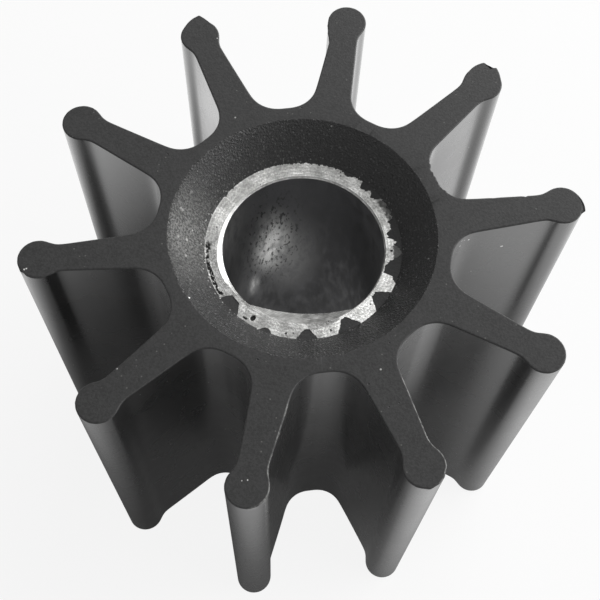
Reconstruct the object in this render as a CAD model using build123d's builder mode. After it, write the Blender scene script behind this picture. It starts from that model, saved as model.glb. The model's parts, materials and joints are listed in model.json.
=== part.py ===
from build123d import *
import os
from math import radians, sin, tan

# Flexible-vane impeller for a marine raw-water pump: a rubber vane wheel moulded onto a fluted
# metal drive insert. Lengths are in millimetres and angles in degrees. The origin lies on the
# axis in the lower end face, +Z runs along the axis, and the flat of the bore faces -Y.

# Drive insert: a sleeve with V-shaped flutes outside and a D-shaped bore inside
bore_diameter = 19.05
bore_flat_depth = 2.1
countersink_width = 0.4
countersink_slope = 45.0
insert_wall = 2.45
flute_count = 14
open_flute_count = 8
first_flute_angle = -136.4
flute_angle = 75.0
flute_floor_width = 0.6
flute_floor_wall = 0.6
dragged_skin = 0.3

# Vane wheel: a hub, its vanes and the round bead along the edge of each vane
wheel_diameter = 65.1
wheel_width = 50.8
hub_wall = 5.1
vane_count = 10
first_vane_angle = 10.0
vane_root_thickness = 4.7
vane_edge_thickness = 3.0
edge_bead_diameter = 4.8
root_fillet_radius = 3.6
neck_fillet_radius = 2.4

# Conical recess that leads down to the insert in each end of the hub
recess_depth = 3.75
recess_slope = 45.0
insert_rim_lap = 0.4

# Sizes that follow from those above
bore_radius = bore_diameter / 2
flat_from_axis = bore_radius - bore_flat_depth
countersink_radius = bore_radius + countersink_width
countersink_height = countersink_radius / tan(radians(countersink_slope))
insert_radius = bore_radius + insert_wall
insert_length = wheel_width - 2 * recess_depth
insert_top = recess_depth + insert_length
flute_pitch = 360 / flute_count
flute_floor_radius = bore_radius + flute_floor_wall
flute_run_out_radius = insert_radius + flute_floor_wall
hub_radius = insert_radius + hub_wall
bead_radius = edge_bead_diameter / 2
bead_centre_radius = wheel_diameter / 2 - bead_radius
web_taper = (vane_root_thickness - vane_edge_thickness) / (bead_centre_radius - hub_radius)
web_thickness_at_axis = vane_root_thickness + web_taper * hub_radius
recess_floor_radius = insert_radius - insert_rim_lap
recess_mouth_radius = recess_floor_radius + recess_depth * tan(radians(recess_slope))
mid_plane = Plane.XY.offset(wheel_width / 2)


def flute_half_width(radius):
    """Half the width of a flute at a distance from the axis."""
    return flute_floor_width / 2 + (radius - flute_floor_radius) * tan(radians(flute_angle / 2))


def from_axis(edge):
    """Distance of an upright edge from the wheel's axis."""
    centre = edge.center()
    return (centre.X ** 2 + centre.Y ** 2) ** 0.5


def valley_fillet_limit():
    """Radius of the fillet that would just fill the valley between two vanes."""
    half_pitch = sin(radians(180 / vane_count))
    return (hub_radius * half_pitch - vane_root_thickness / 2) / (1 - half_pitch)


# One flute, cut into the side that faces +X
with BuildSketch() as flute_section:
    with BuildLine():
        Polyline(
            (flute_floor_radius, -flute_half_width(flute_floor_radius)),
            (flute_run_out_radius, -flute_half_width(flute_run_out_radius)),
            (flute_run_out_radius, flute_half_width(flute_run_out_radius)),
            (flute_floor_radius, flute_half_width(flute_floor_radius)),
            close=True,
        )
    make_face()

# The insert before it is bored, which is also the cavity that it fills in the rubber
with BuildPart() as insert_blank:
    with BuildSketch(Plane.XY.offset(recess_depth)):
        Circle(insert_radius)
    extrude(amount=insert_length)
    # These flutes come out at both end faces
    open_arc = open_flute_count * flute_pitch
    with BuildSketch(Plane.XY.offset(recess_depth)):
        with PolarLocations(0, open_flute_count, first_flute_angle, open_arc):
            add(flute_section.sketch)
    extrude(amount=insert_length, mode=Mode.SUBTRACT)
    # Facing the ends has dragged a skin of metal over the others
    with BuildSketch(Plane.XY.offset(recess_depth + dragged_skin)):
        with PolarLocations(0, flute_count - open_flute_count, first_flute_angle + open_arc, 360 - open_arc):
            add(flute_section.sketch)
    extrude(amount=insert_length - 2 * dragged_skin, mode=Mode.SUBTRACT)

with BuildPart() as drive_insert:
    add(insert_blank.part)
    with BuildSketch(Plane.XY.offset(recess_depth)):
        Circle(bore_radius)
        with Locations((0, -flat_from_axis)):
            Rectangle(bore_diameter, bore_radius, align=(Align.CENTER, Align.MAX), mode=Mode.SUBTRACT)
    extrude(amount=insert_length, mode=Mode.SUBTRACT)
    # Each countersink is one cone about the axis, so it cuts deepest over the flat
    with Locations((0, 0, insert_top)):
        Cone(
            0, countersink_radius, countersink_height,
            align=(Align.CENTER, Align.CENTER, Align.MAX), mode=Mode.SUBTRACT,
        )
    with Locations((0, 0, recess_depth)):
        Cone(
            countersink_radius, 0, countersink_height,
            align=(Align.CENTER, Align.CENTER, Align.MIN), mode=Mode.SUBTRACT,
        )

# One vane lying along +X: a web that thins towards its edge, with the bead on the end
with BuildSketch() as vane_section:
    with BuildLine():
        Polyline(
            (0, -web_thickness_at_axis / 2),
            (bead_centre_radius, -vane_edge_thickness / 2),
            (bead_centre_radius, vane_edge_thickness / 2),
            (0, web_thickness_at_axis / 2),
            close=True,
        )
    make_face()
    with Locations((bead_centre_radius, 0)):
        Circle(bead_radius)

# The recess in the upper end, turned about the axis
with BuildPart() as upper_recess:
    with BuildSketch(Plane.XZ):
        with BuildLine():
            Polyline(
                (0, insert_top),
                (recess_floor_radius, insert_top),
                (recess_mouth_radius, wheel_width),
                (0, wheel_width),
                close=True,
            )
        make_face()
    revolve(axis=Axis.Z)

with BuildPart() as vane_wheel:
    with BuildSketch():
        Circle(hub_radius)
        with PolarLocations(0, vane_count, first_vane_angle):
            add(vane_section.sketch)
    extrude(amount=wheel_width)
    upright_corners = vane_wheel.edges().filter_by(Axis.Z).sort_by(from_axis)
    fillet(upright_corners[-2 * vane_count:], neck_fillet_radius)
    fillet(upright_corners[:2 * vane_count], min(root_fillet_radius, valley_fillet_limit()))
    add(upper_recess.part, mode=Mode.SUBTRACT)
    add(mirror(upper_recess.part, about=mid_plane, mode=Mode.PRIVATE), mode=Mode.SUBTRACT)
    # Rubber fills the flutes, so the insert seats face to face and can't turn
    add(insert_blank.part, mode=Mode.SUBTRACT)

os.makedirs("parts", exist_ok=True)
drive_insert.part.label = "drive_insert"
vane_wheel.part.label = "vane_wheel"
export_step(drive_insert.part, "parts/drive_insert.step")
export_step(vane_wheel.part, "parts/vane_wheel.step")
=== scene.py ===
import json
from math import atan2, cos, degrees, exp, hypot, pi, radians, sin, sqrt, tan

import bmesh
import bpy
from bmesh.types import BMEdge, BMFace, BMVert
from mathutils import Matrix, Vector, noise


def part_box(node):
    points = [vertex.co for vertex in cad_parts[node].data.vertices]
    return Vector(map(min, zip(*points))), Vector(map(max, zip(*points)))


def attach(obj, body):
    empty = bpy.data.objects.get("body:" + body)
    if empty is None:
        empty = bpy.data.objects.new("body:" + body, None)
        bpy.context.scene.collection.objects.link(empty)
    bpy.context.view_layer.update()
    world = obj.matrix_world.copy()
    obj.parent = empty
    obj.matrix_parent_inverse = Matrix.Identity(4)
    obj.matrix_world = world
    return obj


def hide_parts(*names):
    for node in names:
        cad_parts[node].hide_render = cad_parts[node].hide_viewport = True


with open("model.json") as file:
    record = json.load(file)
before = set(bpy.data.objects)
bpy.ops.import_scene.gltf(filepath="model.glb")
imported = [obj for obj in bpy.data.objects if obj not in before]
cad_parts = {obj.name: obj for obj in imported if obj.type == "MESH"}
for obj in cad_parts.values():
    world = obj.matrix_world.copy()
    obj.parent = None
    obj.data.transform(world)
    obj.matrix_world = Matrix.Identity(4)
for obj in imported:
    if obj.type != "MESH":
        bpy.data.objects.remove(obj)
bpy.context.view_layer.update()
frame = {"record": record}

# A flexible-vane impeller for a marine raw-water pump: a black rubber vane wheel moulded onto a
# fluted metal drive insert. Meshes are built in millimetres, in the frame's own axes, and turned
# to metres at the end. The origin lies on the axis in the lower end face.
MM = 0.001
TURN = 2 * pi

# Sizes that the frame gives
wheel_low, wheel_high = (Vector(corner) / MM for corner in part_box("vane_wheel"))
insert_high = Vector(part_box("drive_insert")[1]) / MM
shaft_bore = next(m for m in frame["record"]["mounts"] if m["name"] == "shaft_bore")
wheel_width = wheel_high.z - wheel_low.z
mid_height = wheel_width / 2
insert_top = insert_high.z
insert_radius = insert_high.x
bore_radius = shaft_bore["dims"]["r_mm"]

# Drive insert, in millimetres and degrees
bore_flat = bore_radius - 2.1
countersink_depth = 0.28
countersink_width = 0.17
least_land = 0.02
flute_count = 14
first_flute = -136.4
flute_floor = bore_radius + 0.6
flute_floor_width = 0.6
flute_slope = tan(radians(75 / 2))
skin_depth = 0.3

# Vane wheel
bead_radius = 2.4
bead_circle = 65.1 / 2 - bead_radius
hub_radius = insert_radius + 5.1
vane_count = 10
first_vane = 10.0
vane_root = 4.7
vane_edge = 3.0
root_fillet = 3.6
neck_fillet = 2.4
recess_foot = insert_radius - 0.4
recess_mouth = recess_foot + (wheel_width - insert_top)
rim_round = 0.18
mouth_rounding = 0.12

# How finely round things are divided, how often the outline is smoothed, and how far below the upper
# rim the walls have rings of their own
ring_steps = 1440
land_rings = 18
cone_rings = 8
mouth_steps = 6
bead_steps = 36
neck_steps = 10
root_steps = 24
valley_steps = 8
flank_cuts = 30
rim_steps = 4
blend_passes = 14
wall_rings = (1.2, 0.5, rim_round)

# Points this near to each other are merged, in the outline and between the two halves. A height is
# taken to be that of an end face within a hair of it. Faces that meet at more than sharp_edge are
# shaded apart.
outline_weld = 0.005
half_weld = 0.002
hair = 0.001
sharp_edge = radians(30)

# Faces carry the material that their surface was made with
MOULDED, END_FACE, BUFFED = range(3)
FACED, TURNED, BORED = range(3)


# ---------------------------------------------------------------- mesh helpers

def polar(radius, angle, height):
    """A point at a radius and an angle round the axis."""
    return Vector((radius * cos(angle), radius * sin(angle), height))


def angle_of(point):
    """Angle of a point round the axis."""
    return atan2(point.y, point.x)


def apart(angle, other):
    """Signed gap between two angles in degrees, from -180 to 180."""
    return (angle - other + 180) % 360 - 180


def ease(value, low, high):
    """Smooth step from 0 at low to 1 at high."""
    share = min(max((value - low) / (high - low), 0), 1)
    return share * share * (3 - 2 * share)


def ragged(angle, pitch, seed):
    """Uneven wander from -1 to 1 round the axis, with one bump about every pitch degrees."""
    reach = 180 / pi / pitch
    return noise.noise(Vector((reach * cos(angle), reach * sin(angle), seed))) * 2


def swell(angle, middle, before, after, most):
    """A swelling round the axis: most at its middle, with its reach in degrees on either side."""
    away = apart(degrees(angle), middle)
    return most * exp(-(away / (before if away < 0 else after)) ** 2)


def only(kind, items):
    """The items of one kind in what an operator gives back."""
    return [item for item in items if isinstance(item, kind)]


def new_ring(bm, radius, height):
    """A ring of edges round the axis. radius and height may be functions of the angle."""
    made = bmesh.ops.create_circle(bm, segments=ring_steps, radius=1, cap_ends=False)
    lay_ring(made["verts"], radius, height)
    return list(dict.fromkeys(edge for vert in made["verts"] for edge in vert.link_edges))


def lay_ring(verts, radius, height):
    """Moves a ring's points to a radius and a height, each a number or a function of the angle."""
    for vert in verts:
        angle = angle_of(vert.co)
        far = radius(angle) if callable(radius) else radius
        high = height(angle) if callable(height) else height
        vert.co = polar(far, angle, high)


def extrude_ring(bm, ring):
    """Extrudes a ring of edges and gives the new ring's points and edges, and the faces between."""
    grown = bmesh.ops.extrude_edge_only(bm, edges=ring)["geom"]
    verts = set(only(BMVert, grown))
    edges = [edge for edge in only(BMEdge, grown) if set(edge.verts) <= verts]
    return verts, edges, only(BMFace, grown)


def next_ring(bm, ring, radius, height, material):
    """Extrudes a ring of edges and lays the new ring at its own radius and height."""
    verts, edges, faces = extrude_ring(bm, ring)
    lay_ring(verts, radius, height)
    for face in faces:
        face.material_index = material
    return edges


def crease(edges):
    """Marks edges between two kinds of surface, so that each is shaded by itself."""
    for edge in edges:
        edge.smooth = False


def mirror_half(bm):
    """Adds the lower half of a piece that is the same at both ends."""
    below = Matrix.Translation((0, 0, wheel_width)) @ Matrix.Diagonal((1, 1, -1, 1))
    copy = bmesh.ops.duplicate(bm, geom=bm.verts[:] + bm.edges[:] + bm.faces[:])["geom"]
    bmesh.ops.transform(bm, matrix=below, verts=only(BMVert, copy))
    bmesh.ops.remove_doubles(bm, verts=bm.verts[:], dist=half_weld)


def finish_piece(bm, name, node, materials):
    """Turns a closed bmesh into a piece that stands for a CAD node."""
    bmesh.ops.recalc_face_normals(bm, faces=bm.faces[:])
    bmesh.ops.scale(bm, vec=(MM, MM, MM), verts=bm.verts[:])
    for face in bm.faces:
        face.smooth = True
    crease(edge for edge in bm.edges if edge.calc_face_angle(0) > sharp_edge)
    mesh = bpy.data.meshes.new(name)
    bm.to_mesh(mesh)
    bm.free()
    for material in materials:
        mesh.materials.append(material)
    piece = bpy.data.objects.new(name, mesh)
    bpy.context.scene.collection.objects.link(piece)
    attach(piece, "root")
    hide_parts(node)
    return piece


# ---------------------------------------------------------------- flutes

# The mouths of the open flutes in the end face, spread or dragged over by the tool: the angles at
# which each leaves the rim, reaches its floor, leaves its floor and comes back to the rim, and the
# radius of its floor
MOUTHS = [
    (216.4, 219.8, 226.6, 232.2, 10.27),
    (245.8, 249.4, 251.8, 254.4, 11.08),
    (268.0, 273.0, 276.2, 281.0, 10.38),
    (292.2, 298.0, 301.4, 307.6, 10.02),
    (318.4, 324.2, 328.6, 333.8, 10.02),
]
# Where the rim of the metal is torn and dragged, its line as angle and radius
TORN_RIM = [
    (0.0, 11.42), (2.6, 11.36), (4.2, 11.0), (5.0, 10.6), (6.2, 10.95), (7.4, 11.0), (9.0, 10.6),
    (10.8, 10.02), (14.2, 10.0), (15.6, 10.45), (16.7, 10.8), (17.8, 10.6), (19.4, 10.85),
    (20.6, 10.55), (22.4, 10.58), (23.4, 11.2), (24.6, 11.45), (26.0, 11.25), (28.6, 11.5),
    (31.0, 11.3), (33.4, 11.5), (36.0, 11.55), (38.4, 11.35), (40.0, 10.9), (42.0, 10.65),
    (43.6, 10.66), (45.4, 11.2), (47.0, 11.0), (48.6, 10.65), (52.4, 10.58), (53.6, 11.1),
    (54.3, 11.45), (60.5, 11.45), (62.0, 11.08), (65.0, 11.05), (67.0, 11.2), (70.0, 11.42),
    (95.0, 11.46), (120.0, 11.56), (143.5, 11.6), (145.2, 11.42), (146.8, 11.44), (148.5, 11.9),
    (338.4, 11.9), (340.6, 11.3), (343.4, 10.75), (343.8, 9.78), (349.0, 9.78), (351.0, 9.98),
    (352.8, 10.1), (354.0, 10.45), (355.6, 10.75), (356.8, 11.2), (358.2, 11.42), (360.0, 11.42),
]
# How far the metal laps under the rubber beside the flutes, and the least radius that a tear leaves
rim_lap = 0.25
least_tear = 9.76
# How ragged torn metal is: how far it strays in millimetres and how often, in degrees
TEARS = [(0.07, 1.8), (0.07, 0.7)]
# How a flute's mouth climbs from its floor to the rim
mouth_curve = 1.15
# Where the hand-cut countersink is wider and where it is deeper: its middle, its reach before and
# after that in degrees, and how much is added
WIDER = (200.0, 36.0, 20.0, 0.50)
DEEPER = (212.0, 26.0, 26.0, 0.16)


def flute_angle(index):
    """Direction of a flute's middle in degrees."""
    return first_flute + index * 360 / flute_count


def flute_radius(angle):
    """Radius of the fluted body of the insert: V-shaped flutes with a narrow flat floor."""
    turn = degrees(angle)
    away = radians(min(abs(apart(turn, flute_angle(index))) for index in range(flute_count)))
    floor = flute_floor / cos(away)
    slope = flute_slope * cos(away) - sin(away)
    flank = (flute_floor * flute_slope - flute_floor_width / 2) / slope if slope > 0 else insert_radius
    return min(max(floor, flank), insert_radius)


def torn_radius(turn):
    """Radius of the torn rim at an angle in degrees, or past the metal where it isn't torn."""
    for (start, near), (end, far) in zip(TORN_RIM, TORN_RIM[1:]):
        if start <= turn < end:
            return near + (far - near) * (turn - start) / (end - start)
    return insert_radius


def mouth_radius(angle):
    """Radius of the metal in the end face: the open mouths of the flutes, with torn edges."""
    turn = degrees(angle) % 360
    radius = recess_foot + rim_lap
    torn = sum(reach * ragged(angle, pitch, seed) for seed, (reach, pitch) in enumerate(TEARS, 1))
    for leave, foot, heel, back, floor in MOUTHS:
        if leave < turn < back:
            climb = max((foot - turn) / (foot - leave), (turn - heel) / (back - heel), 0) ** mouth_curve
            edge = torn * min(0.4 + 3 * climb, 1)
            radius = min(radius, floor + climb * (recess_foot + 0.1 - floor) + edge)
    return max(min(radius, torn_radius(turn) + 1.4 * torn), least_tear)


def bore_wall(angle):
    """Radius of the D-shaped bore, whose flat faces -Y."""
    down = -sin(angle)
    return min(bore_radius, bore_flat / down) if down > 0 else bore_radius


def countersink_rim(angle):
    """Radius at which the countersink meets the end face: cut by hand, and widest on one side."""
    return bore_radius + countersink_width + swell(angle, *WIDER)


def land_rim(angle):
    """Radius of the outer edge of the land, which a tear never quite takes away."""
    return max(mouth_radius(angle), countersink_rim(angle) + least_land)


def countersink_floor(angle):
    """Height at which the upper countersink runs out on the bore wall, at 45 degrees over the flat."""
    depth = countersink_depth + swell(angle, *DEEPER)
    return insert_top - depth - (bore_radius - bore_wall(angle))


# ---------------------------------------------------------------- drive insert

# Pits in the end face of the insert: angle, radius, half length round the axis, half length along
# the radius and depth, in degrees and millimetres
PITS = [
    (240.0, 10.72, 0.26, 0.34, 0.30),
    (1.0, 10.34, 0.12, 0.14, 0.20),
    (262.0, 11.10, 0.10, 0.12, 0.12),
    (289.0, 10.95, 0.14, 0.10, 0.10),
    (236.0, 11.25, 0.30, 0.12, 0.15),
]
# Smears of rubber left over the land: angle, half the width, inner and outer radius and strength
SMEARS = [(0.6, 5.4, 10.62, 12.2, 1.0), (31.5, 8.6, 10.78, 12.2, 0.6)]
# Arcs of corroded pits along the rim: angle, half the width, radius and half the width across. They
# have one depth. Their pattern has a coarse and a fine scale, and a share of the fine one.
CORRODED = [(183.0, 4.8, 11.20, 0.27), (202.0, 15.5, 11.27, 0.20)]
CORROSION_DEPTH = 0.22
COARSE_GRIT, FINE_GRIT, FINE_SHARE = 3.4, 8, 0.6
# A pit this deep is painted black, as painted shade in it
SHADED_PIT_DEPTH = 0.14
# Sides of the land painted darker, as painted shade: angle, half the width and how strongly
SHADED_SIDES = [(207.0, 38.0, 0.44), (262.0, 30.0, 0.28)]
# A lip beside the flat painted darker, as painted shade in place of a step: first and last angle,
# outer radius at each and how dark it is
SHADED_LIP = (274.0, 298.0, 10.81, 9.98, 0.44)


def pit_depth(point):
    """How deep the end face is pitted at a point, in millimetres."""
    radius = hypot(point.x, point.y)
    angle = angle_of(point)
    depth = 0.0
    for turn, middle, wide, tall, deep in PITS:
        across = radians(apart(degrees(angle), turn)) * middle / wide
        along = (radius - middle) / tall
        depth = max(depth, deep * ease(1.3 - hypot(across, along), 0, 0.7))
    grit = noise.noise(Vector((point.x, point.y, 3)) * COARSE_GRIT)
    grit += FINE_SHARE * noise.noise(point * FINE_GRIT)
    for turn, half, middle, reach in CORRODED:
        along = ease(half - abs(apart(degrees(angle), turn)), 0, 3)
        across = ease(reach - abs(radius - middle - 0.06 * ragged(angle, 6, 8)), -0.04, 0.08)
        depth = max(depth, CORROSION_DEPTH * along * across * ease(grit, -0.40, 0.16))
    return depth


def smear_cover(point):
    """How much of the metal the smears of rubber cover at a point, from 0 to 1."""
    angle = angle_of(point)
    radius = hypot(point.x, point.y) + 0.12 * ragged(angle, 1.5, 11)
    cover = 0.0
    for turn, half, inner, outer, strength in SMEARS:
        along = half - abs(apart(degrees(angle), turn)) + 1.2 * noise.noise(point * 1.6)
        edge = ease(radius, inner - 0.1, inner + 0.08) * ease(-radius, -outer, 0.1 - outer)
        thin = 1 - (1 - strength) * ease(noise.noise(point * 2.3), -0.2, 0.3)
        cover = max(cover, thin * ease(along, -0.3, 0.5) * edge)
    return cover


def shade_on_land(point):
    """How strongly shade is painted on the end face at a point, on two sides and a lip, from 0 to 1."""
    around = degrees(angle_of(point)) % 360
    darker_sides = max(strength * ease(half - abs(apart(around, turn)), -6, 14)
                  for turn, half, strength in SHADED_SIDES)
    darker_sides *= 0.75 + 0.6 * noise.noise(point * 1.3)
    # The lip's strength is how much shade is painted on it
    start, end, outer, inner, dull = SHADED_LIP
    edge = outer + (inner - outer) * (around - start) / (end - start)
    inside = ease(edge - hypot(point.x, point.y), 0, 0.06)
    return max(darker_sides, dull * inside * ease(around, start - 2, start + 3) * ease(-around, -end, 2 - end))


def wear_end_face(bm):
    """Pits the upper end face and marks where rubber smears it and where shade is painted on it."""
    grime = bm.verts.layers.float.new("grime")
    smear = bm.verts.layers.float.new("smear")
    for vert in bm.verts:
        radius = hypot(vert.co.x, vert.co.y)
        if vert.co.z < insert_top - hair or radius > recess_foot + rim_lap + hair:
            continue
        depth = pit_depth(vert.co)
        # Painted shade: black in the deepest pits, darker on two sides of the land and on a lip beside the
        # flat
        vert[grime] = max(min(depth / SHADED_PIT_DEPTH, 1), shade_on_land(vert.co))
        vert[smear] = smear_cover(vert.co)
        rim = countersink_rim(angle_of(vert.co))
        vert.co.z -= depth * ease(radius, rim, rim + 0.1)


def drive_insert(materials):
    """The fluted metal insert, with its D-shaped bore and a countersink at each end."""
    bm = bmesh.new()
    ring = new_ring(bm, flute_radius, mid_height)
    ring = next_ring(bm, ring, flute_radius, insert_top - skin_depth, BORED)
    crease(ring)
    ring = next_ring(bm, ring, mouth_radius, insert_top - skin_depth, BORED)
    crease(ring)
    ring = next_ring(bm, ring, land_rim, insert_top, FACED)
    crease(ring)
    for step in range(1, land_rings + 1):
        share = step / land_rings

        def land(angle):
            outer = land_rim(angle)
            return outer + share * (countersink_rim(angle) - outer)

        ring = next_ring(bm, ring, land, insert_top, FACED)
    crease(ring)
    ring = next_ring(bm, ring, bore_wall, countersink_floor, TURNED)
    crease(ring)
    next_ring(bm, ring, bore_wall, mid_height, BORED)
    mirror_half(bm)
    wear_end_face(bm)
    return finish_piece(bm, "fluted_drive_insert", "drive_insert", materials)


# ---------------------------------------------------------------- vane wheel

# How each vane has taken a set, from the first vane round: its turn in degrees and its reach in
# millimetres, both at the bead
VANE_SET = [
    (0.2, 0.2), (0.3, 0.1), (0.3, 0.1), (-0.2, 0.1), (-0.2, 0.0),
    (-0.5, 0.0), (-0.5, 0.0), (-0.9, 0.0), (-0.8, -0.1), (-0.2, -0.1),
]

# Flash left on the upper rim of the beads: vane, direction of its peak from the middle of the bead,
# how far it reaches on the clockwise and on the other side, in degrees, and how far it stands out
FLASH = [
    (3, -21, 34, 55, 0.81),
    (1, 39, 28, 53, 0.72),
    (1, 7, 38, 20, 0.59),
    (0, -23, 12, 66, 0.34),
    (5, 35, 12, 12, 0.10),
    (8, -12, 16, 16, 0.12),
]
# Vane whose flash is parted from the end face by a groove, and the depth of the groove. The groove is
# also painted black, as painted shade.
GROOVED, GROOVE_DEPTH = 0, 0.22
# Nicks in the upper rim of the vane flanks: vane, distance from the axis, half length and depth.
# A depth below zero is flash that stands out.
NICKS = [
    (0, 26.1, 0.22, 0.16), (0, 22.5, 0.5, 0.05), (8, 31.6, 0.4, 0.14), (5, 31.9, 0.35, 0.16),
    (2, 28.1, 1.4, -0.38), (2, 29.2, 0.7, -0.08),
]
# Vanes whose upper rim has a pale painted highlight on the counter-clockwise side, and how strongly
RIM_HIGHLIGHTS = {7: 0.55, 8: 0.45}
# Pale line of painted highlight down a bead: vane, direction from the middle of the bead, half its width
# in degrees and strength
BEAD_HIGHLIGHT = (7, 70.0, 9.0, 0.5)
# Torn flash along the rim of a valley: angle, half its width and how far it stands out
TORN_VALLEY = (29.0, 9.0, 0.22)
# Depths below the upper rim between which wear and the painted highlight fade out
WEAR_FADE = (0.75, 0.2)
HIGHLIGHT_FADE = (0.85, 0.35)
# How far off the middle of a vane the side with painted highlight begins
highlight_side = 0.6
# Where the mouth of the recess is buffed well over: the middle of that side, its reach before and
# after that in degrees, and how much is added to its rounding
BUFFED_SIDE = (172.0, 52.0, 52.0, 0.75)
# How the mouth strays from a true circle: how far in millimetres and how often, in degrees
MOUTH_WANDER = [(0.07, 14), (0.03, 4), (0.02, 1.2)]


def arc(bm, vert, centre, angle, steps):
    """Extrudes a point along an arc and gives its last point."""
    turned = bmesh.ops.spin(
        bm, geom=[vert], cent=(*centre, 0), axis=(0, 0, 1), angle=angle, steps=steps,
    )
    return only(BMVert, turned["geom_last"])[0]


def half_vane(bm):
    """Half the outline of a vane that lies along +X, from the tip of its bead to the valley."""
    taper = (vane_edge - vane_root) / 2 / (bead_circle - hub_radius)
    lean = hypot(1, taper)
    steep = 1 + taper * taper
    # Middle of the root fillet, which touches the hub and the flank
    rise = vane_root / 2 - taper * hub_radius + root_fillet * lean
    reach = hub_radius + root_fillet
    root_x = (sqrt((rise * taper) ** 2 - steep * (rise ** 2 - reach ** 2)) - rise * taper) / steep
    root = (root_x, rise + taper * root_x)
    # Middle of the neck fillet, which touches the bead and the flank
    rise = vane_root / 2 - taper * hub_radius + neck_fillet * lean
    reach = bead_radius + neck_fillet
    middle = bead_circle - rise * taper
    neck_x = (middle - sqrt(middle ** 2 - steep * (bead_circle ** 2 + rise ** 2 - reach ** 2))) / steep
    neck = (neck_x, rise + taper * neck_x)
    inward = atan2(-1, taper)
    at_bead = atan2(neck[1], neck[0] - bead_circle)
    at_hub = atan2(root[1], root[0])
    tip = bmesh.ops.create_vert(bm, co=(bead_circle + bead_radius, 0, 0))["vert"][0]
    vert = arc(bm, tip, (bead_circle, 0), at_bead, bead_steps)
    vert = arc(bm, vert, neck, inward - (at_bead - pi), neck_steps)
    flank = bmesh.ops.extrude_vert_indiv(bm, verts=[vert])
    vert = flank["verts"][0]
    vert.co = (root[0] + root_fillet * cos(inward), root[1] + root_fillet * sin(inward), 0)
    vert = arc(bm, vert, root, at_hub - pi - inward, root_steps)
    arc(bm, vert, (0, 0), pi / vane_count - at_hub, valley_steps)
    bmesh.ops.subdivide_edges(bm, edges=flank["edges"], cuts=flank_cuts)


def wheel_outline(bm):
    """The closed outline of the wheel: half a vane, mirrored and repeated round the axis."""
    half_vane(bm)
    copy = bmesh.ops.duplicate(bm, geom=bm.verts[:] + bm.edges[:])["geom"]
    bmesh.ops.scale(bm, vec=(1, -1, 1), verts=only(BMVert, copy))
    bmesh.ops.rotate(bm, matrix=Matrix.Rotation(radians(first_vane), 3, "Z"), verts=bm.verts[:])
    bmesh.ops.spin(
        bm, geom=bm.verts[:] + bm.edges[:], axis=(0, 0, 1), angle=TURN * (1 - 1 / vane_count),
        steps=vane_count - 1, use_duplicate=True,
    )
    bmesh.ops.remove_doubles(bm, verts=bm.verts[:], dist=outline_weld)
    for _ in range(blend_passes):
        bmesh.ops.smooth_vert(bm, verts=bm.verts[:], factor=0.5, use_axis_x=True, use_axis_y=True)
    bmesh.ops.translate(bm, vec=(0, 0, mid_height), verts=bm.verts[:])
    return bm.edges[:]


def raise_walls(bm, outline):
    """Raises the vane walls to the upper rim and rounds it, and gives the edges round the end face."""
    for depth in wall_rings:
        verts, outline, _ = extrude_ring(bm, outline)
        for vert in verts:
            vert.co.z = wheel_width - depth
    crease(outline)
    cap = bmesh.ops.contextual_create(bm, geom=outline)["faces"][0]
    if cap.normal.z < 0:
        cap.normal_flip()
    for step in range(rim_steps):
        before = radians(90 * step / rim_steps)
        after = radians(90 * (step + 1) / rim_steps)
        inset = bmesh.ops.inset_region(
            bm, faces=[cap], thickness=rim_round * (cos(before) - cos(after)),
            depth=rim_round * (sin(after) - sin(before)), use_boundary=True, use_even_offset=True,
        )
        for face in inset["faces"]:
            face.material_index = END_FACE
    rim = cap.edges[:]
    crease(rim)
    bmesh.ops.delete(bm, geom=[cap], context="FACES_ONLY")
    return rim


def recess_wander(angle):
    """How far the buffed mouth of the recess strays from a true circle."""
    return sum(reach * ragged(angle, pitch, seed)
               for seed, (reach, pitch) in enumerate(MOUTH_WANDER, 21))


def mouth_round(angle):
    """Radius to which the mouth of the recess is rounded: buffed well over on one side."""
    return mouth_rounding + swell(angle, *BUFFED_SIDE)


def floor_height(angle):
    """Height of the rubber at the foot of the recess, a little below the metal in the flutes."""
    open_mouth = ease(recess_foot - mouth_radius(angle), 0, 0.3)
    return insert_top - open_mouth * (0.05 + 0.02 * ragged(angle, 5, 31))


def sink_recess(bm):
    """The recess and the fluted cavity under it, from the end face to the middle of the wheel."""
    tangent = tan(radians(22.5))

    def mouth(share):
        turn = radians(90 + 45 * share)
        return lambda angle: (recess_mouth + mouth_round(angle) * (tangent + cos(turn))
                              + recess_wander(angle) * (1 - share) ** 2)

    def brow(share):
        turn = radians(90 + 45 * share)
        return lambda angle: wheel_width - mouth_round(angle) * (1 - sin(turn))

    first = new_ring(bm, mouth(0), wheel_width)
    ring = first
    for step in range(1, mouth_steps + 1):
        share = step / mouth_steps
        ring = next_ring(bm, ring, mouth(share), brow(share), BUFFED)
    for step in range(1, cone_rings + 1):
        share = step / cone_rings

        def cone(angle):
            start = mouth(1)(angle)
            return start + share * (recess_foot - start)

        def slope(angle):
            start = brow(1)(angle)
            return start + share * (insert_top - start)

        ring = next_ring(bm, ring, cone, slope, BUFFED)
    crease(ring)
    ring = next_ring(bm, ring, mouth_radius, floor_height, END_FACE)
    crease(ring)
    ring = next_ring(bm, ring, mouth_radius, insert_top - skin_depth, MOULDED)
    crease(ring)
    ring = next_ring(bm, ring, flute_radius, insert_top - skin_depth, MOULDED)
    crease(ring)
    next_ring(bm, ring, flute_radius, mid_height, MOULDED)
    return first


def vane_point(point):
    """The vane that a point is nearest to, and the point in that vane's own frame."""
    pitch = 360 / vane_count
    vane = round(apart(degrees(angle_of(point)), first_vane) / pitch) % vane_count
    back = Matrix.Rotation(-radians(first_vane + vane * pitch), 3, "Z")
    return vane, back @ point


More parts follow.
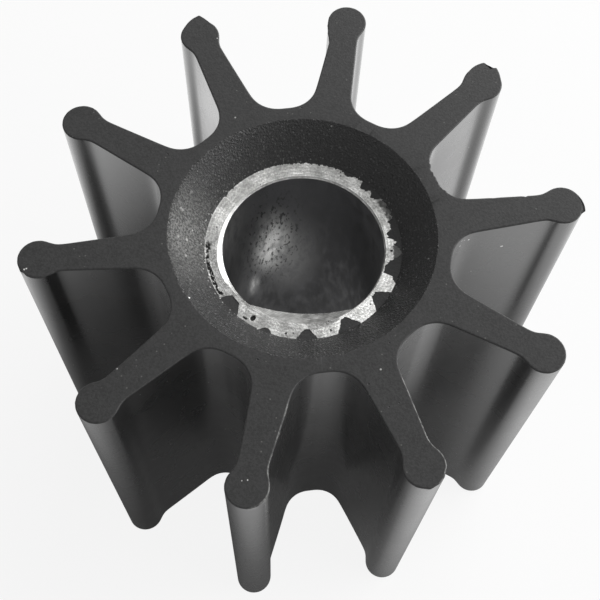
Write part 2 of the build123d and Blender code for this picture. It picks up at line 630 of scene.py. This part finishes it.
def flash_at(vane, local):
    """How far flash pushes the rim of a bead outwards from the bead's middle."""
    turn = degrees(atan2(local.y, local.x - bead_circle))
    out = 0.0
    for where, peak, before, after, stand in FLASH:
        if where == vane:
            away = apart(turn, peak)
            share = max(1 + away / before if away < 0 else 1 - away / after, 0)
            out = max(out, stand * share ** 1.5)
    return out


def near_rim(point, fade):
    """1 at the upper rim of the wheel, and 0 below it past the depth at which this wear fades out."""
    gone, full = fade
    return ease(point.z, wheel_width - gone, wheel_width - full)


def paint_rim_highlights(bm):
    """Marks where a highlight is painted: in a broken line along one side of the upper rim of a vane,
    and in a line down one bead."""
    scuff = bm.verts.layers.float.new("scuff")
    lit_bead, line, half, strength = BEAD_HIGHLIGHT
    for vert in bm.verts:
        vane, local = vane_point(vert.co)
        if vane not in RIM_HIGHLIGHTS or local.y < highlight_side or vert.co.z > wheel_width - hair:
            continue
        if vane == lit_bead and vert.co.z > mid_height + 1:
            from_line = abs(degrees(atan2(local.y, local.x - bead_circle)) - line)
            vert[scuff] = strength * ease(half - from_line, 0, 4)
        broken = ease(noise.noise(vert.co * 1.3) + 0.6 * noise.noise(vert.co * 4), -0.35, 0.30)
        # Painted highlight in a broken line along the rim
        rim_light = near_rim(vert.co, HIGHLIGHT_FADE) * broken * RIM_HIGHLIGHTS[vane]
        rim_light *= ease(local.x, hub_radius + 2, hub_radius + 4)
        vert[scuff] = max(vert[scuff], rim_light)


def wear_rim(bm):
    """Leaves flash, nicks and a slightly uneven line along the upper rim of the vanes."""
    turn, half, stand = TORN_VALLEY
    cut = bm.verts.layers.float.new("cut")
    for vert in bm.verts:
        high = near_rim(vert.co, WEAR_FADE)
        if high == 0 or hypot(vert.co.x, vert.co.y) < recess_mouth + 0.8:
            continue
        vane, local = vane_point(vert.co)
        spot = Vector((vert.co.x, vert.co.y, 0))
        from_bead = Vector((local.x - bead_circle, local.y, 0))
        push = Vector()
        if from_bead.length < bead_radius + 0.5:
            flash = flash_at(vane, local)
            push = from_bead.normalized() * (flash + 0.02 * noise.noise(spot * 3))
            groove = ease(from_bead.length, bead_radius - 0.17, bead_radius - 0.12)
            groove *= ease(-from_bead.length, -bead_radius + 0.02, -bead_radius + 0.06)
            if vane == GROOVED:
                # The groove's mask lowers the rim here and is painted black as painted shade
                vert[cut] = groove * min(flash / 0.08, 1)
                vert.co.z -= GROOVE_DEPTH * vert[cut]
                push *= 1 - ease(-from_bead.length, -bead_radius + 0.04, -bead_radius + 0.10)
        for where, reach, length, deep in NICKS:
            if where == vane and local.y > 0:
                push.y -= deep * max(1 - abs(local.x - reach) / length, 0)
        vert.co += Matrix.Rotation(angle_of(vert.co) - angle_of(local), 3, "Z") @ push * high
        around = abs(apart(degrees(angle_of(spot)), turn))
        if around < half and spot.length < hub_radius + 1.2:
            tear = stand * max(noise.noise(spot * 2.1) + 0.35, 0) * ease(half - around, 0, 2)
            vert.co += spot.normalized() * tear * high


def set_vanes(bm):
    """Bends each vane by the set that it has taken, from its root outwards."""
    for vert in bm.verts:
        radius = hypot(vert.co.x, vert.co.y)
        if radius < hub_radius:
            continue
        vane, _ = vane_point(vert.co)
        turn, reach = VANE_SET[vane]
        share = ease(radius, hub_radius, bead_circle + bead_radius)
        grown = 1 + share * reach / radius
        vert.co = Matrix.Rotation(radians(turn) * share, 3, "Z") @ Vector(
            (vert.co.x * grown, vert.co.y * grown, vert.co.z),
        )


def vane_wheel(materials):
    """The rubber wheel, moulded in one piece round the insert."""
    bm = bmesh.new()
    outline = wheel_outline(bm)
    rim = raise_walls(bm, outline)
    mouth = sink_recess(bm)
    filled = bmesh.ops.triangle_fill(bm, use_beauty=True, edges=rim + mouth, normal=(0, 0, 1))
    for face in only(BMFace, filled["geom"]):
        face.material_index = END_FACE
    mirror_half(bm)
    paint_rim_highlights(bm)
    wear_rim(bm)
    set_vanes(bm)
    return finish_piece(bm, "moulded_vane_wheel", "vane_wheel", materials)


# ---------------------------------------------------------------- materials

# How patterns in the bore are drawn out along the shaft
SHAFT_STRETCH = (1.0, 1.0, 0.35)
# Patches of painted light on the bore wall, smoother than the rest: angle, height, reach, softness of its
# edge and strength
LIT_PATCHES = [
    (118.0, 31.5, 4.0, 3.2, 1.0), (100.0, 27.0, 5.5, 5.0, 0.35), (134.0, 21.0, 1.5, 1.5, 0.9),
    (160.0, 45.0, 4.2, 4.0, 0.9), (12.0, 44.0, 7.0, 6.0, 0.15),
    (150.0, 34.0, 6.5, 6.0, 0.28),
]
# Dark pits in the bore: angle and height of their middle, where they end and start to thin out, and
# how strongly they show
BORE_PITS = (118.0, 31.5, 5.5, 3.0, 0.85)
# Heights between which the bore is painted lighter upwards, as painted shade towards the bottom
SHADE_HEIGHTS = (14.0, 44.0)
# Metal dust at the foot of the recess, and bright specks of painted light on its lit side: angle, radius
# and height of that side's middle, its reach, and how high over the metal the dust thins out and is gone
METAL_DUST_AND_GLINT = (192.0, 11.6, 47.2, 8.0)
DUST_HEIGHTS = (0.15, 0.7)
# Where the buffed rubber is painted pale, as painted light on its lit side: angle, radius and height of its
# middle, its reach
RECESS_LIT_SIDE = (180.0, 14.0, 49.2, 8.5)
# Single grains of bright grit on the rubber: angle, radius, height and reach
BRIGHT_GRIT = [
    (215.2, 15.14, 50.7, 0.17), (159.1, 14.07, 49.3, 0.15), (261.0, 29.5, 50.8, 0.10),
    (191.6, 31.75, 50.8, 0.13), (191.45, 31.5, 50.8, 0.12), (259.9, 29.7, 50.8, 0.08),
    (1.6, 18.13, 49.9, 0.17), (3.2, 19.1, 49.2, 0.18), (1.4, 18.1, 48.7, 0.16),
    (2.4, 18.5, 49.6, 0.15), (5.4, 23.72, 45.6, 0.22),
]
# A wave texture of scale 1 has its rings this far apart
WAVE_PITCH = TURN / 20
# Sockets of a Mix node that is set to colours
FACTOR, COLOR_A, COLOR_B, MIXED = 0, 6, 7, 2


def linear(code):
    """An sRGB hex colour as linear red, green, blue and alpha."""
    channels = [int(code[place:place + 2], 16) / 255 for place in (1, 3, 5)]
    return [c / 12.92 if c <= 0.04045 else ((c + 0.055) / 1.055) ** 2.4 for c in channels] + [1]


def per_mm(size):
    """Scale of a pattern whose cells are this many millimetres across."""
    return 1 / (size * MM)


def add_node(tree, kind, inputs=None, **settings):
    """Adds a node. inputs gives each socket, by name or number, a value, an output of another node, or
    the node itself for its first output."""
    node = tree.nodes.new(kind)
    for name, value in settings.items():
        setattr(node, name, value)
    for name, value in (inputs or {}).items():
        if isinstance(value, bpy.types.Node):
            value = value.outputs[0]
        if isinstance(value, bpy.types.NodeSocket):
            tree.links.new(value, node.inputs[name])
        else:
            node.inputs[name].default_value = value
    return node


def start_material(name, values):
    """A new material: its node tree, its shader set to these values and the object's coordinates."""
    material = bpy.data.materials.new(name)
    material.use_nodes = True
    tree = material.node_tree
    shader = tree.nodes["Principled BSDF"]
    for socket, value in values.items():
        shader.inputs[socket].default_value = value
    place = add_node(tree, "ShaderNodeTexCoord").outputs["Object"]
    return material, tree, shader, place


def cloud(tree, place, size, detail=2.0, low=0.35, high=0.65):
    """Soft blotches of a size in millimetres, from 0 to 1."""
    blur = add_node(tree, "ShaderNodeTexNoise", {
        "Vector": place, "Scale": per_mm(size), "Detail": detail, "Roughness": 0.6,
    })
    return add_node(tree, "ShaderNodeMapRange", {
        "Value": blur, "From Min": low, "From Max": high,
    })


def specks(tree, place, spacing, size, share):
    """Small round specks of a size in millimetres, in a share of cells that are spacing wide."""
    cells = add_node(tree, "ShaderNodeTexVoronoi", {"Vector": place, "Scale": per_mm(spacing)})
    near = add_node(tree, "ShaderNodeMapRange", {
        "Value": cells, "From Min": 0.5 * size / spacing, "From Max": 0.3 * size / spacing,
    })
    pick = add_node(tree, "ShaderNodeSeparateColor", {"Color": cells.outputs["Color"]})
    chosen = add_node(tree, "ShaderNodeMath", {0: pick, 1: share}, operation="LESS_THAN")
    return add_node(tree, "ShaderNodeMath", {0: near, 1: chosen}, operation="MULTIPLY")


def tool_marks(tree, place, pitch, wander):
    """Rings that a turning tool left round the axis, a pitch in millimetres apart."""
    return add_node(tree, "ShaderNodeTexWave", {
        "Vector": place, "Scale": WAVE_PITCH * per_mm(pitch), "Distortion": wander, "Detail": 2.0,
        "Detail Scale": 3.0,
    }, wave_type="RINGS", rings_direction="Z").outputs["Fac"]


def near_spot(tree, place, spot, reach, core, far=0.0, near=1.0, blend="LINEAR"):
    """A patch round a spot: near inside its core and far past its reach, both in millimetres."""
    away = add_node(tree, "ShaderNodeVectorMath", {
        0: place, 1: Vector(spot) * MM,
    }, operation="DISTANCE")
    return add_node(tree, "ShaderNodeMapRange", {
        "Value": away.outputs["Value"], "From Min": reach * MM, "From Max": core * MM,
        "To Min": far, "To Max": near,
    }, interpolation_type=blend)


def lay_colors(tree, skin, layers):
    """Lays colours over a skin in turn. Each layer has its pattern, how strongly that shows, which may
    be another pattern, and its colour."""
    for pattern, strength, code in layers:
        cover = add_node(tree, "ShaderNodeMath", {0: pattern, 1: strength}, operation="MULTIPLY")
        skin = add_node(tree, "ShaderNodeMix", {
            FACTOR: cover, COLOR_A: skin, COLOR_B: linear(code),
        }, data_type="RGBA").outputs[MIXED]
    return skin


def set_surface(tree, shader, skin, dull, reliefs):
    """Gives a shader its colour, its roughness as a pattern with its low and high end, and its reliefs
    as patterns with their depths in millimetres. A pattern with a depth below zero is sunk in."""
    pattern, low, high = dull
    roughness = add_node(tree, "ShaderNodeMapRange", {
        "Value": pattern, "To Min": low, "To Max": high,
    })
    tree.links.new(skin, shader.inputs["Base Color"])
    tree.links.new(roughness.outputs["Result"], shader.inputs["Roughness"])
    inputs = {"Strength": 1.0}
    for pattern, depth in reliefs:
        inputs.update({"Height": pattern, "Distance": abs(depth) * MM})
        relief = add_node(tree, "ShaderNodeBump", inputs, invert=depth < 0)
        inputs["Normal"] = relief.outputs["Normal"]
    tree.links.new(inputs["Normal"], shader.inputs["Normal"])


def paint_highlight_and_groove(tree, place, skin):
    """Paints a pale highlight on rubber along its rim and down a bead, with a fine broken grain, and
    paints black shade in the groove.
    """
    scuff = add_node(tree, "ShaderNodeAttribute", attribute_name="scuff").outputs["Fac"]
    cut = add_node(tree, "ShaderNodeAttribute", attribute_name="cut").outputs["Fac"]
    grain = cloud(tree, place, 0.4, detail=3, low=0.3, high=0.5)
    # Painted highlight pale along the rims, painted shade black in the groove
    return lay_colors(tree, skin, [(scuff, grain, "#929290"), (cut, 1, "#050505")])


def add_grit(tree, place, skin):
    """Sets single bright grains of grit where they lie on the rubber."""
    for turn, radius, height, size in BRIGHT_GRIT:
        grain = near_spot(tree, place, polar(radius, radians(turn), height), size, size / 2)
        skin = lay_colors(tree, skin, [(grain, 1, "#f0f0ee")])
    return skin


def moulded_rubber():
    """Nitrile rubber as it left a polished mould: near black, with a smooth skin that turns glossy
    at a glancing view, faint flow marks, a few pin holes and specks of dust."""
    material, tree, shader, place = start_material("moulded_nitrile_rubber", {
        "IOR": 1.6, "Coat Weight": 1.0, "Coat IOR": 1.85, "Coat Roughness": 0.22,
    })
    bloom = cloud(tree, place, 7)
    flow = cloud(tree, place, 0.45, detail=3, low=0.2, high=0.8)
    holes = specks(tree, place, 2.0, 0.36, 0.20)
    motes = specks(tree, place, 0.8, 0.30, 0.14)
    dust = specks(tree, place, 1.3, 0.20, 0.07)
    skin = lay_colors(tree, linear("#151515"), [
        (bloom, 1, "#1d1d1d"), (motes, 1, "#3c3c3b"), (holes, 1, "#0a0a0a"), (dust, 1, "#a8a8a6"),
    ])
    skin = add_grit(tree, place, paint_highlight_and_groove(tree, place, skin))
    set_surface(tree, shader, skin, (bloom, 0.24, 0.32), [(flow, 0.0008)])
    return material


def end_face_rubber():
    """The same rubber where the ends of the mould and the trimming left it matt and finely
    textured: a dark grey with a dry mottle, a grain of 0.26 mm and settled dust."""
    material, tree, shader, place = start_material("matt_end_face_rubber", {
        "IOR": 1.52, "Specular IOR Level": 0.3,
    })
    mottle = cloud(tree, place, 1.6, detail=4, low=0.3, high=0.7)
    grain = cloud(tree, place, 0.26, detail=2, low=0.35, high=0.65)
    motes = specks(tree, place, 0.7, 0.22, 0.20)
    dust = specks(tree, place, 1.5, 0.26, 0.05)
    holes = specks(tree, place, 1.1, 0.26, 0.06)
    skin = lay_colors(tree, linear("#242424"), [
        (mottle, 1, "#2f2f2f"), (grain, 0.5, "#444444"), (holes, 1, "#101010"),
        (motes, 1, "#626260"), (dust, 1, "#c8c8c6"),
    ])
    skin = add_grit(tree, place, paint_highlight_and_groove(tree, place, skin))
    set_surface(tree, shader, skin, (mottle, 0.5, 0.6), [(grain, 0.008), (holes, -0.08)])
    return material


def buffed_rubber():
    """Rubber of the recess, roughened by a buffing tool: near black, with a grain of torn grey crumbs,
    some of them coarse, and metal dust at its foot. On one side painted light makes the grain pale and
    sparkling and adds bright specks to the dust. The fine crumbs are drawn at 0.3 mm so that they show."""
    material, tree, shader, place = start_material("buffed_recess_rubber", {
        "IOR": 1.52, "Specular IOR Level": 0.34,
    })
    grain = cloud(tree, place, 0.25, detail=4, low=0.25, high=0.75)
    crumbs = specks(tree, place, 0.34, 0.30, 0.34)
    clods = specks(tree, place, 0.9, 0.46, 0.20)
    dust = specks(tree, place, 1.3, 0.26, 0.05)
    filings = specks(tree, place, 0.30, 0.24, 0.28)
    turn, radius, height, reach = METAL_DUST_AND_GLINT
    # Painted light: full bright specks towards the lit side, and 0.35 of them elsewhere as dust
    beside = near_spot(tree, place, polar(radius, radians(turn), height), reach, 0.4 * reach, far=0.35)
    thin, gone = ((insert_top + over) * MM for over in DUST_HEIGHTS)
    foot = add_node(tree, "ShaderNodeMapRange", {
        "Value": add_node(tree, "ShaderNodeSeparateXYZ", {"Vector": place}).outputs["Z"],
        "From Min": gone, "From Max": thin, "To Min": 0.10,
    })
    dust_and_glints = add_node(tree, "ShaderNodeMath", {0: beside, 1: foot}, operation="MULTIPLY")
    turn, radius, height, reach = RECESS_LIT_SIDE
    # Painted light: grain and coarse crumbs turned pale on the lit side of the recess
    film = near_spot(tree, place, polar(radius, radians(turn), height), reach, 0, blend="SMOOTHSTEP")
    lit_grain = add_node(tree, "ShaderNodeMapRange", {
        "Value": grain, "From Min": 0.35, "From Max": 0.65, "To Min": 0.1, "To Max": 0.85,
    })
    lit_clods = add_node(tree, "ShaderNodeMapRange", {"Value": film, "To Min": 0.12})
    skin = lay_colors(tree, linear("#080808"), [
        (grain, 1, "#171717"), (crumbs, 1, "#464646"), (film, lit_grain, "#747472"),
        (clods, lit_clods, "#9a9a98"), (filings, dust_and_glints, "#d8d8d6"), (dust, 1, "#a8a8a6"),
    ])
    skin = add_grit(tree, place, skin)
    set_surface(tree, shader, skin, (grain, 0.5, 0.34), [(grain, 0.09), (crumbs, 0.03)])
    return material


def faced_metal():
    """Metal of the insert's end, faced flat: pale grey with a dry, blotchy film, faint marks of facing
    drawn 0.46 mm apart, specks of dark grit, painted shade that is black in its pits and darker on two
    sides of the land and on a lip, and a dull smear of rubber where the mould flashed over it."""
    material, tree, shader, place = start_material("faced_stained_metal", {})
    blotch = cloud(tree, place, 1.4, detail=5, low=0.36, high=0.64)
    fleck = cloud(tree, place, 0.24, detail=3, low=0.38, high=0.62)
    grit = specks(tree, place, 0.8, 0.26, 0.22)
    tracks = tool_marks(tree, place, 0.46, 3.0)
    # Painted shade: black and not metallic in the pits, and darker on two sides of the land and on a lip
    grime = add_node(tree, "ShaderNodeAttribute", attribute_name="grime").outputs["Fac"]
    smear = add_node(tree, "ShaderNodeAttribute", attribute_name="smear").outputs["Fac"]
    skin = lay_colors(tree, linear("#b4b4b2"), [
        (blotch, 1, "#f4f4f2"), (fleck, 0.55, "#7c7c7a"), (tracks, 0.32, "#767674"),
        (grit, 1, "#4a4a48"), (grime, 1, "#1e1e1d"), (smear, 1, "#6c6c6a"),
    ])
    hidden = add_node(tree, "ShaderNodeMath", {0: grime, 1: smear}, operation="MAXIMUM")
    bare = add_node(tree, "ShaderNodeMath", {0: 1.0, 1: hidden}, operation="SUBTRACT")
    tree.links.new(bare.outputs["Value"], shader.inputs["Metallic"])
    set_surface(tree, shader, skin, (blotch, 0.55, 0.38), [(fleck, 0.03)])
    return material


def turned_metal():
    """Metal of the countersinks, left bright by a turning tool: fine rings round the axis, drawn
    0.34 mm apart so that they show."""
    material, tree, shader, place = start_material("turned_bright_metal", {"Metallic": 1})
    rings = tool_marks(tree, place, 0.34, 3.5)
    blotch = cloud(tree, place, 1.0, detail=4)
    skin = lay_colors(tree, linear("#b4b4b2"), [(blotch, 1, "#dadad8"), (rings, 0.45, "#7a7a78")])
    set_surface(tree, shader, skin, (blotch, 0.46, 0.56), [(rings, 0.012)])
    return material


def bore_spot(turn, height):
    """A point on the wall of the bore, drawn out along the shaft as the patterns there are."""
    return polar(bore_radius, radians(turn), height * SHAFT_STRETCH[2])


def bored_metal():
    """Metal of the bore, drawn and reamed, under a blotchy film of shaft grease, with painted shade
    that darkens it towards the bottom and painted light in patches and streaks along the shaft, where
    pits stay dark."""
    material, tree, shader, place = start_material("bored_dull_metal", {"Metallic": 1})
    along_shaft = add_node(tree, "ShaderNodeVectorMath", {0: place, 1: SHAFT_STRETCH}, operation="MULTIPLY")
    film = cloud(tree, along_shaft, 3, detail=3)
    flake = cloud(tree, along_shaft, 1.1, detail=4, low=0.36, high=0.56)
    pits = cloud(tree, along_shaft, 0.42, detail=2, low=0.56, high=0.64)
    # Painted shade: the wall is darker towards the bottom of the bore
    depth = add_node(tree, "ShaderNodeMapRange", {
        "Value": add_node(tree, "ShaderNodeSeparateXYZ", {"Vector": place}).outputs["Z"],
        "From Min": SHADE_HEIGHTS[0] * MM, "From Max": SHADE_HEIGHTS[1] * MM,
    })
    skin = lay_colors(tree, linear("#4e4e4f"), [(depth, 1, "#8a8a8c"), (film, 0.4, "#808082")])
    gloss = add_node(tree, "ShaderNodeMapRange", {"Value": flake, "To Min": 0.38, "To Max": 0.5})
    mottled = add_node(tree, "ShaderNodeMapRange", {"Value": flake, "To Min": 0.35})
    # Painted light: near white, smoother patches on the wall of the bore
    for turn, height, reach, edge, strength in LIT_PATCHES:
        inside = near_spot(tree, along_shaft, bore_spot(turn, height), reach, reach - edge,
                           near=strength, blend="SMOOTHSTEP")
        bare = add_node(tree, "ShaderNodeMath", {0: inside, 1: mottled}, operation="MULTIPLY")
        skin = lay_colors(tree, skin, [(bare, 1, "#f4f4f2")])
        gloss = add_node(tree, "ShaderNodeMapRange", {"Value": bare, "To Min": gloss, "To Max": 0.26})
    turn, height, reach, core, strength = BORE_PITS
    pitted = near_spot(tree, along_shaft, bore_spot(turn, height), reach, core, near=strength)
    skin = lay_colors(tree, skin, [(pits, pitted, "#3a3a3a")])
    set_surface(tree, shader, skin, (gloss, 0, 1), [(flake, 0.004)])
    return material


# ---------------------------------------------------------------- stage

# Softboxes that stand round the wheel and face it: direction round the axis and above the floor in
# degrees, distance, width and height in millimetres, and how bright each is, where 1 is white
SOFTBOXES = {
    "right_softbox": (0, 20, 600, 620, 300, 4.4),
    "back_right_softbox": (60, 24, 600, 620, 240, 7.3),
    "right_strip": (20, 9, 700, 600, 110, 12.0),
    "left_strip": (180, 6, 600, 600, 120, 0.6),
    "front_left_softbox": (240, 24, 600, 620, 240, 0.3),
    "front_right_softbox": (300, 48, 600, 620, 260, 0.3),
}
# Even light from all round, where 1 is white, and the most of its white that the floor shows
FILL = 0.1
FLOOR_WHITE = 0.88
# Where the wheel shades the floor in a gloss: middle of that place, how light it is there, where
# full shade ends, where half shade ends and how light that is, and where open floor starts
SHADE_MIDDLE, FULL_LIGHT = (-10.5, -7.2, 0), 0.06
FULL_SHADE, HALF_SHADE, HALF_LIGHT, OPEN_FLOOR = 21.0, 31.0, 0.14, 53.0
# The fainter shade on its right: its middle, its reach and how light it is
SIDE_SHADE, SHADE_REACH, SHADE_LIGHT = (35.0, 1.5, 0), 41.0, 0.40
# Light that falls down the bore onto the floor: middle and reach of its pool, and the light round it
BORE_POOL, POOL_REACH, POOL_EDGE = (8.0, -1.0, 0), 8.0, 0.4
# Width of the floor in metres
FLOOR_WIDTH = 6
# The camera: its lens and sensor in millimetres, its place in millimetres and its turn in degrees
LENS, SENSOR = 67.298, 36
CAMERA_PLACE, CAMERA_TURN = (-0.381, -59.343, 164.627), (24.068, -1.289, 2.578)


def add_camera():
    """The camera that the main picture is taken with."""
    data = bpy.data.cameras.new("camera")
    data.lens = LENS
    data.sensor_width = SENSOR
    data.clip_start = 0.01
    seat = bpy.data.objects.new("camera", data)
    seat.location = Vector(CAMERA_PLACE) * MM
    seat.rotation_euler = [radians(turn) for turn in CAMERA_TURN]
    bpy.context.scene.collection.objects.link(seat)
    bpy.context.scene.camera = seat


def add_softbox(name, around, above, distance, width, height, brightness):
    """A rectangular soft light that looks at the middle of the wheel."""
    data = bpy.data.lights.new(name, "AREA")
    data.shape = "RECTANGLE"
    data.size = width * MM
    data.size_y = height * MM
    data.energy = brightness * pi * data.size * data.size_y
    lamp = bpy.data.objects.new(name, data)
    level = cos(radians(above))
    away = Vector((cos(radians(around)) * level, sin(radians(around)) * level, sin(radians(above))))
    lamp.location = (Vector((0, 0, mid_height)) + away * distance) * MM
    lamp.rotation_euler = away.to_track_quat("Z", "Y").to_euler()
    bpy.context.scene.collection.objects.link(lamp)


def floor_paint():
    """Matt white paint. The camera sees it white with a faint shadow of the wheel. A gloss shows
    the same white away from the wheel and through the bore, and the floor's own shade under it."""
    material, tree, shader, place = start_material("matt_white_floor_paint", {
        "Base Color": linear("#f2f2f2"), "Roughness": 0.9, "Specular IOR Level": 0.0,
    })
    half_shade = near_spot(tree, place, SHADE_MIDDLE, HALF_SHADE, FULL_SHADE, HALF_LIGHT, FULL_LIGHT)
    open_floor = near_spot(tree, place, SHADE_MIDDLE, OPEN_FLOOR, HALF_SHADE, 1.0, half_shade)
    beside = near_spot(tree, place, SIDE_SHADE, SHADE_REACH, 0, 1.0, SHADE_LIGHT, "SMOOTHSTEP")
    shaded = add_node(tree, "ShaderNodeMath", {0: open_floor, 1: beside}, operation="MULTIPLY")
    out = add_node(tree, "ShaderNodeVectorMath", {0: place}, operation="LENGTH")
    inside = add_node(tree, "ShaderNodeMath", {
        0: out.outputs["Value"], 1: bore_radius * MM,
    }, operation="LESS_THAN")
    pooled = near_spot(tree, place, BORE_POOL, POOL_REACH, 0, POOL_EDGE)
    under_bore = add_node(tree, "ShaderNodeMath", {0: inside, 1: pooled}, operation="MULTIPLY")
    lit_floor = add_node(tree, "ShaderNodeMath", {0: shaded, 1: under_bore}, operation="MAXIMUM")
    path = add_node(tree, "ShaderNodeLightPath")
    seen = add_node(tree, "ShaderNodeMath", {
        0: path.outputs["Is Camera Ray"], 1: path.outputs["Is Transmission Ray"],
    }, operation="MAXIMUM")
    level = add_node(tree, "ShaderNodeMath", {0: seen, 1: lit_floor}, operation="MAXIMUM")
    direct = add_node(tree, "ShaderNodeMath", {
        0: seen, 1: path.outputs["Is Glossy Ray"],
    }, operation="MAXIMUM")
    share = add_node(tree, "ShaderNodeMath", {0: direct, 1: FLOOR_WHITE}, operation="MULTIPLY")
    white = add_node(tree, "ShaderNodeEmission", {"Color": (1, 1, 1, 1), "Strength": level})
    paint = add_node(tree, "ShaderNodeMixShader", {0: share, 1: shader, 2: white})
    surface = tree.nodes["Material Output"].inputs["Surface"]
    tree.links.new(paint.outputs["Shader"], surface)
    return material


def light_world():
    """A white backdrop all round, of which only a little falls on the wheel as light."""
    world = bpy.data.worlds.new("studio")
    bpy.context.scene.world = world
    world.use_nodes = True
    tree = world.node_tree
    path = add_node(tree, "ShaderNodeLightPath")
    either = add_node(tree, "ShaderNodeMath", {
        0: path.outputs["Is Camera Ray"], 1: path.outputs["Is Glossy Ray"],
    }, operation="MAXIMUM")
    seen = add_node(tree, "ShaderNodeMath", {
        0: either, 1: path.outputs["Is Transmission Ray"],
    }, operation="MAXIMUM")
    strength = add_node(tree, "ShaderNodeMapRange", {"Value": seen, "To Min": FILL})
    backdrop = tree.nodes["Background"]
    backdrop.inputs["Color"].default_value = (1, 1, 1, 1)
    tree.links.new(strength.outputs["Result"], backdrop.inputs["Strength"])


def lay_floor():
    """A plain floor under the wheel."""
    bpy.ops.mesh.primitive_plane_add(size=FLOOR_WIDTH)
    floor = bpy.context.object
    floor.name = "studio_floor"
    floor.data.materials.append(floor_paint())


vane_wheel([moulded_rubber(), end_face_rubber(), buffed_rubber()])
drive_insert([faced_metal(), turned_metal(), bored_metal()])
lay_floor()
light_world()
for name, settings in SOFTBOXES.items():
    add_softbox(name, *settings)
add_camera()
bpy.context.scene.view_settings.view_transform = "Standard"
